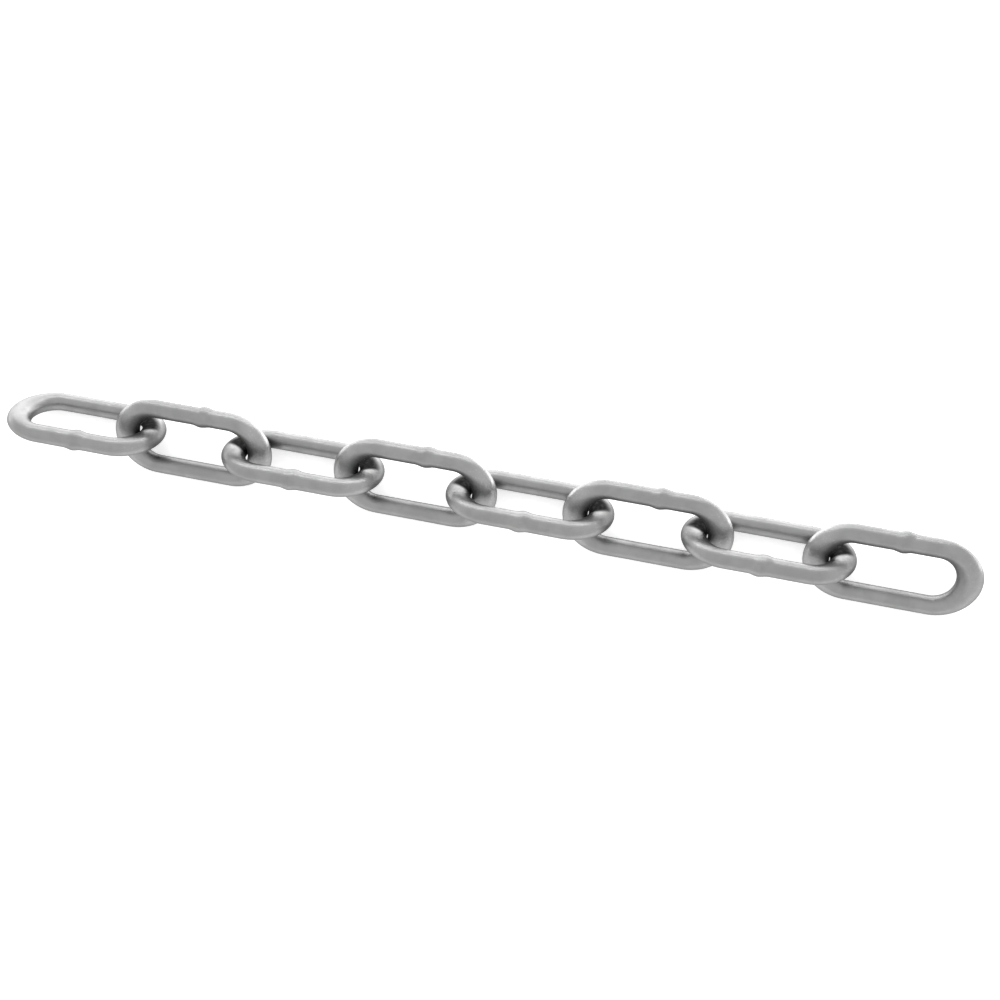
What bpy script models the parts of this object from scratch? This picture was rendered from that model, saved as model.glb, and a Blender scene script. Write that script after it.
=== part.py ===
# Length of steel chain: eight welded links of one round bar, laid out straight.
# Metres, +Z up. The chain runs along X and rests on the floor, z = 0.
import bpy
from math import cos, pi, radians, sin
from mathutils import Matrix

LINK_COUNT = 8

BAR_RADIUS = 0.004          # round bar, 8 mm thick
HALF_WIDTH = 0.0141         # a link's long axis to the middle of either leg
INNER_LENGTH = 0.0505       # clear length inside a link
BOW_REACH = 0.0141          # how far an end bow's centre line runs past the legs
BOW_STRETCH = 1.35          # an end bow is this much thicker along the chain than its bar
BOW_CLEARANCE = 0.0003      # running gap between two hooked bows

WELD_HEIGHT = 0.00075       # how far the weld's swelling stands out of the bar
WELD_OFFSET = 0.002         # the weld's middle, past the middle of its leg
WELD_PROFILE = ((-0.0045, 0.0), (-0.0025, 0.5), (-0.0009, 1.0),
                (0.0009, 1.0), (0.0025, 0.5), (0.0045, 0.0))

LEG_END = 0.002             # the plain leg is a true straight bar up to this near its bows
BOW_STEPS = 12              # straight pieces round one bow
BAR_SIDES = 12              # flat sides round the bar
FIRST_ROLL = radians(135)   # link_1 leans on its rear leg, with its weld up at the front
QUARTER_TURN = radians(90)  # from each link to the next

bow_thickness = BAR_RADIUS * BOW_STRETCH
half_length = INNER_LENGTH / 2 + bow_thickness
straight_half = half_length - BOW_REACH
spacing = INNER_LENGTH - BOW_CLEARANCE

# From the bar that a link swings on to the middle of that link.
swing_to_middle = half_length - 2 * bow_thickness - BOW_CLEARANCE

# A link leaning at 45 degrees rests on a flat side of its lower leg.
axis_height = HALF_WIDTH * sin(radians(45)) + BAR_RADIUS * cos(pi / BAR_SIDES)


def clear_scene():
    for item in list(bpy.data.objects):
        bpy.data.objects.remove(item, do_unlink=True)


def make_steel():
    steel = bpy.data.materials.new("zinc_coated_steel")
    steel.use_nodes = True
    shader = steel.node_tree.nodes["Principled BSDF"]
    shader.inputs["Base Color"].default_value = (0.56, 0.56, 0.56, 1.0)
    shader.inputs["Metallic"].default_value = 0.8
    shader.inputs["Roughness"].default_value = 0.45
    return steel


def link_path():
    """The bar's centre line as (x, y, radius), with y towards the welded leg.

    It is drawn short along x, because the finished mesh is stretched by BOW_STRETCH there.
    """
    bow_x = BOW_REACH / BOW_STRETCH
    leg_x = straight_half / BOW_STRETCH
    bar_x = (straight_half - LEG_END) / BOW_STRETCH
    path = [(-leg_x, -HALF_WIDTH, BAR_RADIUS)]
    path.append((-bar_x, -HALF_WIDTH, BAR_RADIUS))
    path.append((bar_x, -HALF_WIDTH, BAR_RADIUS))
    for step in range(BOW_STEPS + 1):
        turn = pi * step / BOW_STEPS
        path.append((leg_x + bow_x * sin(turn), -HALF_WIDTH * cos(turn), BAR_RADIUS))
    for offset, share in reversed(WELD_PROFILE):
        x = (WELD_OFFSET + offset) / BOW_STRETCH
        path.append((x, HALF_WIDTH, BAR_RADIUS + WELD_HEIGHT * share))
    for step in range(BOW_STEPS):
        turn = pi * step / BOW_STEPS
        path.append((-leg_x - bow_x * sin(turn), HALF_WIDTH * cos(turn), BAR_RADIUS))
    return path


def make_link_mesh(steel):
    bar = bpy.data.curves.new("bent_bar", "CURVE")
    bar.dimensions = "3D"
    bar.bevel_depth = BAR_RADIUS
    bar.bevel_resolution = (BAR_SIDES - 4) // 2
    bar.resolution_u = 1
    bar.render_resolution_u = 0

    path = link_path()
    spline = bar.splines.new("POLY")
    spline.points.add(len(path) - 1)
    for point, (x, y, radius) in zip(spline.points, path):
        point.co = (x, y, 0.0, 1.0)
        point.radius = radius / BAR_RADIUS
    spline.use_cyclic_u = True

    drawn = bpy.data.objects.new("bent_bar", bar)
    bpy.context.scene.collection.objects.link(drawn)
    bpy.context.view_layer.update()
    evaluated = drawn.evaluated_get(bpy.context.evaluated_depsgraph_get())
    mesh = bpy.data.meshes.new_from_object(evaluated)
    bpy.data.objects.remove(drawn, do_unlink=True)

    # The mesh's origin goes on the bar of the link before it, where this link swings.
    mesh.transform(Matrix.Diagonal((BOW_STRETCH, 1.0, 1.0, 1.0)))
    mesh.transform(Matrix.Translation((swing_to_middle, 0.0, 0.0)))
    mesh.name = "chain_link"
    mesh.materials.clear()
    mesh.materials.append(steel)
    mesh.shade_smooth()
    return mesh


def hang_links(mesh):
    """Hook each link into the one before it, a quarter turn round, all in one straight line."""
    chain = bpy.data.collections.new("length_of_steel_chain")
    bpy.context.scene.collection.children.link(chain)

    first_middle = -spacing * (LINK_COUNT - 1) / 2
    before = None
    for number in range(1, LINK_COUNT + 1):
        link = bpy.data.objects.new(f"link_{number}", mesh)
        chain.objects.link(link)
        if before is None:
            link.location = (first_middle - swing_to_middle, 0.0, axis_height)
            link.rotation_euler = (FIRST_ROLL, 0.0, 0.0)
        else:
            roll = -QUARTER_TURN if number % 2 == 0 else QUARTER_TURN
            link.parent = before
            link.location = (spacing, 0.0, 0.0)
            link.rotation_euler = (roll, 0.0, 0.0)
        before = link


clear_scene()
hang_links(make_link_mesh(make_steel()))
bpy.context.view_layer.update()
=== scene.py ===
import math

import bpy
from mathutils import Matrix, Vector, noise


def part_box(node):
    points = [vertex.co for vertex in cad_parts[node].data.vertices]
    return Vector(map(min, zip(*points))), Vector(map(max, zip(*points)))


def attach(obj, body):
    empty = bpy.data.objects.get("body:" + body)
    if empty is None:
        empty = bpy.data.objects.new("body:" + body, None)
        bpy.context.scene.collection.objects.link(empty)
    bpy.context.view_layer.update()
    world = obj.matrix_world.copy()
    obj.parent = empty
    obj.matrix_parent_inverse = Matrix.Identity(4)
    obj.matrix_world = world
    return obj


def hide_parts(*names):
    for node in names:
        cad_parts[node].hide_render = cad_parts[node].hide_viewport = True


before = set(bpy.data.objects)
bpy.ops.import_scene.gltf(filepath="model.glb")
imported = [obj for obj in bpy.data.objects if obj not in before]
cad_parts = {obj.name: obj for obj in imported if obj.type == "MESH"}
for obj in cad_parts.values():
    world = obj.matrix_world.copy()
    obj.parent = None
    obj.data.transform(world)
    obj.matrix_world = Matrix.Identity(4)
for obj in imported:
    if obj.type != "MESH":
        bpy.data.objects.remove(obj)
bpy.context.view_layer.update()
print("frame has", len(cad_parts), "links")

# How the links lie: each on its plain leg, leaning a quarter turn away from the last one.
chainLay = {
    "count": 8,
    "axisHeight": 0.013834,     # of the chain, above the floor
    "oddRoll": 135,             # degrees
    "evenRoll": 45,
}

# One link: two straight legs and two bows, bent from round bar.
linkShape = {
    "barRadius": 0.004,
    "halfWidth": 0.0141,        # long axis to the middle of a leg
    "innerLength": 0.0505,
    "bowReach": 0.0141,         # a bow's middle line, past the end of its legs
    "bowStretch": 1.35,         # a bow is this much thicker along the chain
    "stepsAroundBow": 56,
    "stepsAlongLeg": 90,
    "sidesAroundBar": 56,
}


def smoothStep(value, start=0.0, full=1.0):
    # 0 at the start and 1 where it is full, whichever of the two comes first.
    share = min(max((value - start) / (full - start), 0.0), 1.0)
    return share * share * (3 - 2 * share)


def barPath():
    # Points down the middle of the bar, each with the way that the bar runs there.
    s = linkShape
    halfLength = s["innerLength"] / 2 + s["barRadius"] * s["bowStretch"]
    legHalf = halfLength - s["bowReach"]
    path = []

    def leg(sign):
        for step in range(s["stepsAlongLeg"]):
            share = step / s["stepsAlongLeg"]
            centre = Vector((-sign * legHalf * (1 - 2 * share), -sign * s["halfWidth"], 0))
            path.append((centre, Vector((sign, 0, 0))))

    def bow(sign):
        for step in range(s["stepsAroundBow"]):
            turn = math.pi * step / s["stepsAroundBow"]
            centre = Vector((sign * (legHalf + s["bowReach"] * math.sin(turn)),
                             -sign * s["halfWidth"] * math.cos(turn), 0))
            along = Vector((sign * s["bowReach"] / s["bowStretch"] * math.cos(turn),
                            sign * s["halfWidth"] * math.sin(turn), 0))
            path.append((centre, along.normalized()))

    leg(1)      # the plain leg
    bow(1)
    leg(-1)     # the welded leg
    bow(-1)
    return path


# The butt weld on one leg: a low swelling all round the bar.
weld = {
    "height": 0.00070,
    "halfLength": 0.0040,
    "slant": 0.27,              # it leans along the bar, by this share of the way across
    "crest": 0.75,              # 0 is a sharp ridge, 1 a rounded one
    "offset": 0.0020,           # past the middle of the leg
    # How far each link's own weld stands from that place.
    "drift": (-0.0004, 0.0035, -0.0020, 0.0032, -0.0025, 0.0023, -0.0034, 0.0006),
    "unevenness": 0.08,
    "unevenSize": 0.003,
}


def weldShare(place, number):
    # 1 on the weld's crest, 0 away from it.
    if place.y <= 0:
        return 0.0
    middle = weld["offset"] + weld["drift"][number - 1]
    away = place.x - (middle - weld["slant"] * place.z)
    tent = max(1 - abs(away) / weld["halfLength"], 0.0)
    return (1 - weld["crest"]) * tent + weld["crest"] * smoothStep(tent)


# Where links rub: dark dirt and painted shade close to the neighbour's bar, painted shade on
# inner sides and under neighbours, and bows paler with wear and painted light, with bright
# specks.
rubAndPaintedLight = {
    "clearance": 0.0003,        # between a link and its neighbour
    "neighbourSteps": 24,       # on each half of the neighbour's bow
    # Dirt and painted shade are full up to the first distance from the neighbour's skin,
    # gone at the second.
    "evenDirtAndShade": (0.0006, 0.0040),
    "oddDirtAndShade": (0.0008, 0.0044),
    "oddBackPaintedShadow": (0.0056, 0.0092),
    # An odd link's bows have their back here, across the link from its long axis, and there
    # the painted shade reaches further as a painted shadow under the neighbour's leg. It is
    # all back up to the first distance from there, and no longer back at the second.
    "backMiddle": -0.0050,
    "backSpan": (0.0045, 0.0090),
    # The crowns of the odd links' bows are darkened too, with painted shade standing for a
    # dark reflection: it comes up over this span along the link, measured from its middle,
    # and only so much of it shows.
    "crownShadeSpan": (0.0305, 0.0350),
    "crownShadeAmount": 0.5,
    # Painted shade on the sides that face into the link, which also darkens their
    # reflections in the other leg: where it starts and is full, as shares of facing straight
    # in, and how much of it shows. The plain leg's, then the welded leg's.
    "evenPaintedInnerShade": ((0.5, 0.9, 0.12), (0.0, 0.5, 0.55)),
    "oddPaintedInnerShade": ((0.0, 1.0, 0.0), (0.62, 0.9, 0.7)),
    # The bows pale with wear and painted light over this span, less at the free ends and on
    # odd links.
    "wearAndLightSpan": (0.021, 0.029),     # from the middle of the link, along it
    "freeEndWearAndLight": 0.3,
    "oddWearAndLight": 0.6,
}


def neighbourPath():
    # Points down the middle of the bar in a hooked neighbour's bow.
    s = linkShape
    nearest = s["innerLength"] / 2 - s["barRadius"] * s["bowStretch"] - rubAndPaintedLight["clearance"]
    steps = rubAndPaintedLight["neighbourSteps"]
    points = []
    for step in range(-steps, steps + 1):
        turn = math.pi / 2 * step / steps
        points.append(Vector((nearest + s["bowReach"] * (1 - math.cos(turn)), 0,
                              s["halfWidth"] * math.sin(turn))))
    return points


neighbour = neighbourPath()


def paintedInnerShade(place, inward, number):
    # How much painted shade there is on a side that faces into the link.
    legs = rubAndPaintedLight["oddPaintedInnerShade" if number % 2 else "evenPaintedInnerShade"]
    plain, welded = (smoothStep(inward, start, full) * amount
                     for start, full, amount in legs)
    return plain + (welded - plain) * smoothStep(place.y / linkShape["halfWidth"], -1, 1)


def rubAndPaintedLightShares(place, inward, number):
    # How much dark, from dirt and painted shade, and how much pale, from wear and painted
    # light, a place on the bar has.
    odd = number % 2 == 1
    alongLink = abs(place.x)
    innerShade = paintedInnerShade(place, inward, number)
    wearAndLight = smoothStep(alongLink, *rubAndPaintedLight["wearAndLightSpan"])
    if (number == 1 and place.x < 0) or (number == chainLay["count"] and place.x > 0):
        return innerShade, wearAndLight * rubAndPaintedLight["freeEndWearAndLight"]     # nothing is hooked in there

    full, gone = rubAndPaintedLight["evenDirtAndShade"]
    if odd:
        wearAndLight *= rubAndPaintedLight["oddWearAndLight"]
        allBack, noBack = rubAndPaintedLight["backSpan"]
        back = smoothStep(abs(place.y - rubAndPaintedLight["backMiddle"]), noBack, allBack)
        full, gone = (near + (far - near) * back for near, far in
                      zip(rubAndPaintedLight["oddDirtAndShade"], rubAndPaintedLight["oddBackPaintedShadow"]))
    mirrored = Vector((alongLink, place.y, place.z))
    apart = min((mirrored - point).length for point in neighbour) - linkShape["barRadius"]
    dirtAndShade = smoothStep(apart, gone, full)
    if odd:
        crownShade = smoothStep(alongLink, *rubAndPaintedLight["crownShadeSpan"])
        dirtAndShade = max(dirtAndShade, crownShade * rubAndPaintedLight["crownShadeAmount"])
    return max(dirtAndShade, innerShade), wearAndLight * (1 - dirtAndShade)


# The skin left by dipping in zinc: long soft waves, and finer lumps.
zincSkin = {
    "waveSize": 0.011,
    "waveDepth": 0.00004,
    "lumpSize": 0.0022,
    "lumpDepth": 0.000012,
    "linkShift": (0.37, 0.11, 0.23),    # from link to link, so that no two are alike
}


def skinRise(place, crest, own):
    # How far the weld and the zinc stand out of the bare bar.
    rise = weld["height"] * crest
    rise *= 1 + weld["unevenness"] * noise.noise(place / weld["unevenSize"] + own)
    rise += zincSkin["waveDepth"] * noise.noise(place / zincSkin["waveSize"] + own)
    rise += zincSkin["lumpDepth"] * noise.noise(place / zincSkin["lumpSize"] + own)
    return rise


def makeLinkMesh(number, placing):
    s = linkShape
    sides = s["sidesAroundBar"]
    own = Vector([number * shift for shift in zincSkin["linkShift"]])
    path = barPath()
    points = []
    faces = []
    marks = {"rubDirtAndShade": [], "rubWearAndLight": [], "weldCrest": []}
    for centre, along in path:
        outward = Vector((along.y, -along.x, 0))    # away from the middle of the link
        for side in range(sides):
            turn = 2 * math.pi * side / sides
            out = outward * math.cos(turn) + Vector((0, 0, math.sin(turn)))
            reach = Vector((out.x * s["bowStretch"], out.y, out.z))
            place = centre + reach * s["barRadius"]
            crest = weldShare(place, number)
            rise = skinRise(place, crest, own)
            points.append(placing @ (centre + reach * (s["barRadius"] + rise)))
            # Dark is dirt and painted shade, pale is wear and painted light.
            dirtAndShade, wearAndLight = rubAndPaintedLightShares(place, -math.cos(turn), number)
            marks["rubDirtAndShade"].append(dirtAndShade)
            marks["rubWearAndLight"].append(wearAndLight)
            marks["weldCrest"].append(crest)
    rings = len(path)
    for ring in range(rings):
        after = (ring + 1) % rings
        for side in range(sides):
            nextSide = (side + 1) % sides
            faces.append((ring * sides + side, after * sides + side,
                          after * sides + nextSide, ring * sides + nextSide))
    mesh = bpy.data.meshes.new(f"weldedLink{number}")
    mesh.from_pydata(points, [], faces)
    mesh.shade_smooth()
    for name, values in marks.items():
        mark = mesh.attributes.new(name, "FLOAT", "POINT")
        mark.data.foreach_set("value", values)
    mesh.update()
    return mesh


def layLinks(steel):
    lay = chainLay
    for number in range(1, lay["count"] + 1):
        low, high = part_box(f"link_{number}")
        roll = lay["oddRoll"] if number % 2 else lay["evenRoll"]
        placing = Matrix.Translation(((low[0] + high[0]) / 2, 0, lay["axisHeight"]))
        placing = placing @ Matrix.Rotation(math.radians(roll), 4, "X")
        mesh = makeLinkMesh(number, placing)
        mesh.materials.append(steel)
        link = bpy.data.objects.new(f"weldedLink{number}", mesh)
        bpy.context.scene.collection.objects.link(link)
        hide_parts(f"link_{number}")
        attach(link, f"link_{number}")
        print("laid", link.name)


# Dull hot-dip galvanised steel. Each noise has its size in metres and how many finer
# layers it has, each span says where in the noise a thing starts and is full, and the
# amounts are shares.
galvanised = {
    "paleGrey": (0.320, 0.320, 0.320, 1),
    "deepGrey": (0.283, 0.283, 0.283, 1),
    "patchNoise": (0.007, 3),
    "patchSpan": (0.35, 0.65),
    "spangleSize": 0.0019,
    "spangleAmount": 0.25,
    "dullest": 0.40,                # roughness
    "glossiest": 0.33,
    "edgeTint": 0.45,
    "grainNoise": (0.0008, 3),
    "grainHeight": 0.00012,
    "grainStrength": 0.8,
    "weldNoise": (0.0015, 2),
    "weldSpan": (0.3, 0.7),
    "weldTone": 0.05,               # how much dark there is on a weld's crest
    "weldDullness": 0.05,           # roughness that the crest adds
    # The pale colour of the wear specks, and of the painted light on the bows.
    "wearAndLightColour": (0.56, 0.56, 0.56, 1),
    "speckNoise": (0.0007, 4),
    "speckSpan": (0.58, 0.68),
    "speckAmount": 0.5,
    "speckGloss": 0.12,             # roughness that a speck takes away
    # How much painted light, partly wear, pales the bows.
    "bowPaintedLightAndWear": 0.22,
    # The dark of dirt and painted shade, also used for the weld's deeper tone.
    "dirtAndShadeColour": (0.019, 0.019, 0.019, 1),
    "dirtAndShadeNoise": (0.0016, 3),
    "dirtAndShadeSpan": (0.2, 0.6),
    "dirtAndShadeLeast": 0.9,               # of full dirt and painted shade, in its thinnest patches
    "dirtAndShadeDullness": 0.7,            # roughness of full dirt and painted shade
}


def makeGalvanised():
    g = galvanised
    material = bpy.data.materials.new("dullGalvanisedSteel")
    material.use_nodes = True
    tree = material.node_tree
    shader = tree.nodes["Principled BSDF"]

    def add(kind, **settings):
        node = tree.nodes.new("ShaderNode" + kind)
        for key, value in settings.items():
            setattr(node, key, value)
        return node

    def feed(socket, value):
        if isinstance(value, bpy.types.NodeSocket):
            tree.links.new(value, socket)
        else:
            socket.default_value = value

    where = add("TexCoord").outputs["Object"]

    def noiseOf(name):
        size, layers = g[name]
        node = add("TexNoise")
        feed(node.inputs["Vector"], where)
        feed(node.inputs["Scale"], 1 / size)
        feed(node.inputs["Detail"], layers)
        return node.outputs["Fac"]

    def ramp(value, start, end, low=0.0, high=1.0):
        node = add("MapRange", interpolation_type="SMOOTHSTEP")
        for name, number in (("Value", value), ("From Min", start), ("From Max", end),
                             ("To Min", low), ("To Max", high)):
            feed(node.inputs[name], number)
        return node.outputs["Result"]

    def calc(operation, first, second):
        node = add("Math", operation=operation, use_clamp=True)
        feed(node.inputs[0], first)
        feed(node.inputs[1], second)
        return node.outputs[0]

    def blend(share, first, second):
        node = add("Mix", data_type="FLOAT")
        for socket, value in zip((0, 2, 3), (share, first, second)):    # its number sockets
            feed(node.inputs[socket], value)
        return node.outputs[0]

    def blendColour(share, first, second):
        node = add("Mix", data_type="RGBA")
        for socket, value in zip((0, 6, 7), (share, first, second)):    # its colour sockets
            feed(node.inputs[socket], value)
        return node.outputs[2]

    def markOf(name):
        return add("Attribute", attribute_name=name).outputs["Fac"]

    # Soft cloudy patches, with the crystals of the zinc showing faintly in them.
    patches = ramp(noiseOf("patchNoise"), *g["patchSpan"])
    spangle = add("TexVoronoi")
    feed(spangle.inputs["Vector"], where)
    feed(spangle.inputs["Scale"], 1 / g["spangleSize"])
    crystal = add("SeparateColor")
    feed(crystal.inputs[0], spangle.outputs["Color"])
    mottle = blend(g["spangleAmount"], patches, crystal.outputs[0])
    colour = blendColour(mottle, g["deepGrey"], g["paleGrey"])

    # A weld is a shade deeper and duller, unevenly so.
    crest = calc("MULTIPLY", markOf("weldCrest"), ramp(noiseOf("weldNoise"), *g["weldSpan"]))
    colour = blendColour(calc("MULTIPLY", crest, g["weldTone"]), colour, g["dirtAndShadeColour"])

    # The bows are paler, with wear and painted light, and have small bright rubbed specks.
    wearAndLight = markOf("rubWearAndLight")
    specks = calc("MULTIPLY", ramp(noiseOf("speckNoise"), *g["speckSpan"]), wearAndLight)
    specks = calc("MULTIPLY", specks, g["speckAmount"])
    colour = blendColour(specks, colour, g["wearAndLightColour"])
    colour = blendColour(calc("MULTIPLY", wearAndLight, g["bowPaintedLightAndWear"]), colour, g["wearAndLightColour"])

    # Dark dirt and painted shade where links touch, on sides facing into the links, and
    # under and beside the neighbours.
    dirtAndShadePatches = ramp(noiseOf("dirtAndShadeNoise"), *g["dirtAndShadeSpan"], g["dirtAndShadeLeast"])
    dirtAndShade = calc("MULTIPLY", markOf("rubDirtAndShade"), dirtAndShadePatches)
    colour = blendColour(dirtAndShade, colour, g["dirtAndShadeColour"])
    feed(shader.inputs["Base Color"], colour)

    rough = ramp(mottle, 0.0, 1.0, g["dullest"], g["glossiest"])
    rough = calc("ADD", rough, calc("MULTIPLY", crest, g["weldDullness"]))
    rough = calc("SUBTRACT", rough, calc("MULTIPLY", specks, g["speckGloss"]))
    rough = calc("ADD", rough, calc("MULTIPLY", dirtAndShade, g["dirtAndShadeDullness"] - g["dullest"]))
    feed(shader.inputs["Roughness"], rough)

    bump = add("Bump")
    feed(bump.inputs["Height"], noiseOf("grainNoise"))
    feed(bump.inputs["Distance"], g["grainHeight"])
    feed(bump.inputs["Strength"], g["grainStrength"])
    feed(shader.inputs["Normal"], bump.outputs["Normal"])

    shader.inputs["Metallic"].default_value = 1.0
    tint = g["edgeTint"]
    shader.inputs["Specular Tint"].default_value = (tint, tint, tint, 1)
    print("mixed", material.name)
    return material


# The photograph's place: nearly overhead, a little to the front and right.
photoCamera = {
    "place": (0.11391, -0.11773, 0.63170),
    "turn": (12.276, 6.942, 11.876),     # degrees
    "lens": 54.339,
    "filmWidth": 36,
    "clipStart": 0.01,
}


def makeCamera():
    c = photoCamera
    data = bpy.data.cameras.new("photoCamera")
    data.lens = c["lens"]
    data.sensor_width = c["filmWidth"]
    data.clip_start = c["clipStart"]
    camera = bpy.data.objects.new("photoCamera", data)
    bpy.context.scene.collection.objects.link(camera)
    camera.location = c["place"]
    camera.rotation_euler = [math.radians(angle) for angle in c["turn"]]
    bpy.context.scene.camera = camera
    print("camera set")


# White paper on a light table, in even white light, with two long soft lamps behind.
studio = {
    "paperSize": 6.0,
    "paperHeight": -0.0001,
    "paperColour": 0.85,
    "paperRoughness": 0.9,
    "paperShine": 0.2,
    "paperGlow": 0.5,
    "bandGlow": 2.3,                # the table glows more in a band behind the chain
    "bandFront": (0.008, 0.020),    # from here to here along y it comes up
    "bandBack": (0.10, 0.16),       # and here it fades again
    "roomLight": (1.0, 1.06),       # at the horizon and overhead
    "lampAim": (0, 0, 0.01),
    "backLampPlace": (-0.15, 0.69, 0.45),
    "backLampSize": (1.2, 0.17),
    "backLampPower": 2.0,
    "rimLampPlace": (-0.20, 0.85, 0.09),
    "rimLampSize": (1.6, 0.20),
    "rimLampPower": 1.8,
}


def makePaper():
    s = studio
    material = bpy.data.materials.new("glowingPaper")
    material.use_nodes = True
    tree = material.node_tree
    shader = tree.nodes["Principled BSDF"]
    shade = s["paperColour"]
    shader.inputs["Base Color"].default_value = (shade, shade, shade, 1)
    shader.inputs["Roughness"].default_value = s["paperRoughness"]
    shader.inputs["Specular IOR Level"].default_value = s["paperShine"]
    shader.inputs["Emission Color"].default_value = (1, 1, 1, 1)

    where = tree.nodes.new("ShaderNodeTexCoord")
    split = tree.nodes.new("ShaderNodeSeparateXYZ")
    tree.links.new(where.outputs["Object"], split.inputs[0])

    def fade(span, low, high):
        node = tree.nodes.new("ShaderNodeMapRange")
        node.interpolation_type = "SMOOTHSTEP"
        tree.links.new(split.outputs["Y"], node.inputs["Value"])
        node.inputs["From Min"].default_value, node.inputs["From Max"].default_value = span
        node.inputs["To Min"].default_value = low
        node.inputs["To Max"].default_value = high
        return node.outputs["Result"]

    glow = tree.nodes.new("ShaderNodeMath")
    glow.operation = "MULTIPLY_ADD"
    tree.links.new(fade(s["bandFront"], 0, s["bandGlow"]), glow.inputs[0])
    tree.links.new(fade(s["bandBack"], 1, 0), glow.inputs[1])
    glow.inputs[2].default_value = s["paperGlow"]
    tree.links.new(glow.outputs[0], shader.inputs["Emission Strength"])
    return material


def lightRoom():
    world = bpy.data.worlds.new("whiteRoom")
    bpy.context.scene.world = world
    world.use_nodes = True
    tree = world.node_tree
    where = tree.nodes.new("ShaderNodeTexCoord")
    split = tree.nodes.new("ShaderNodeSeparateXYZ")
    tree.links.new(where.outputs["Generated"], split.inputs[0])
    height = tree.nodes.new("ShaderNodeMapRange")
    tree.links.new(split.outputs["Z"], height.inputs["Value"])
    horizon, overhead = studio["roomLight"]
    height.inputs["To Min"].default_value = horizon
    height.inputs["To Max"].default_value = overhead
    light = tree.nodes["Background"]
    light.inputs["Color"].default_value = (1, 1, 1, 1)
    tree.links.new(height.outputs["Result"], light.inputs["Strength"])


def softLamp(name, place, size, power):
    light = bpy.data.lights.new(name, "AREA")
    light.shape = "RECTANGLE"
    light.size, light.size_y = size
    light.energy = power
    lamp = bpy.data.objects.new(name, light)
    bpy.context.scene.collection.objects.link(lamp)
    lamp.location = place
    toChain = Vector(studio["lampAim"]) - Vector(place)
    lamp.rotation_euler = toChain.to_track_quat("-Z", "Y").to_euler()
    lamp.visible_camera = False


def makeStudio():
    s = studio
    bpy.ops.mesh.primitive_plane_add(size=s["paperSize"], location=(0, 0, s["paperHeight"]))
    paper = bpy.context.object
    paper.name = "whitePaper"
    paper.data.materials.append(makePaper())

    lightRoom()
    softLamp("backLamp", s["backLampPlace"], s["backLampSize"], s["backLampPower"])
    softLamp("rimLamp", s["rimLampPlace"], s["rimLampSize"], s["rimLampPower"])
    bpy.context.scene.view_settings.view_transform = "Standard"
    print("studio lit")


makeCamera()
layLinks(makeGalvanised())
makeStudio()
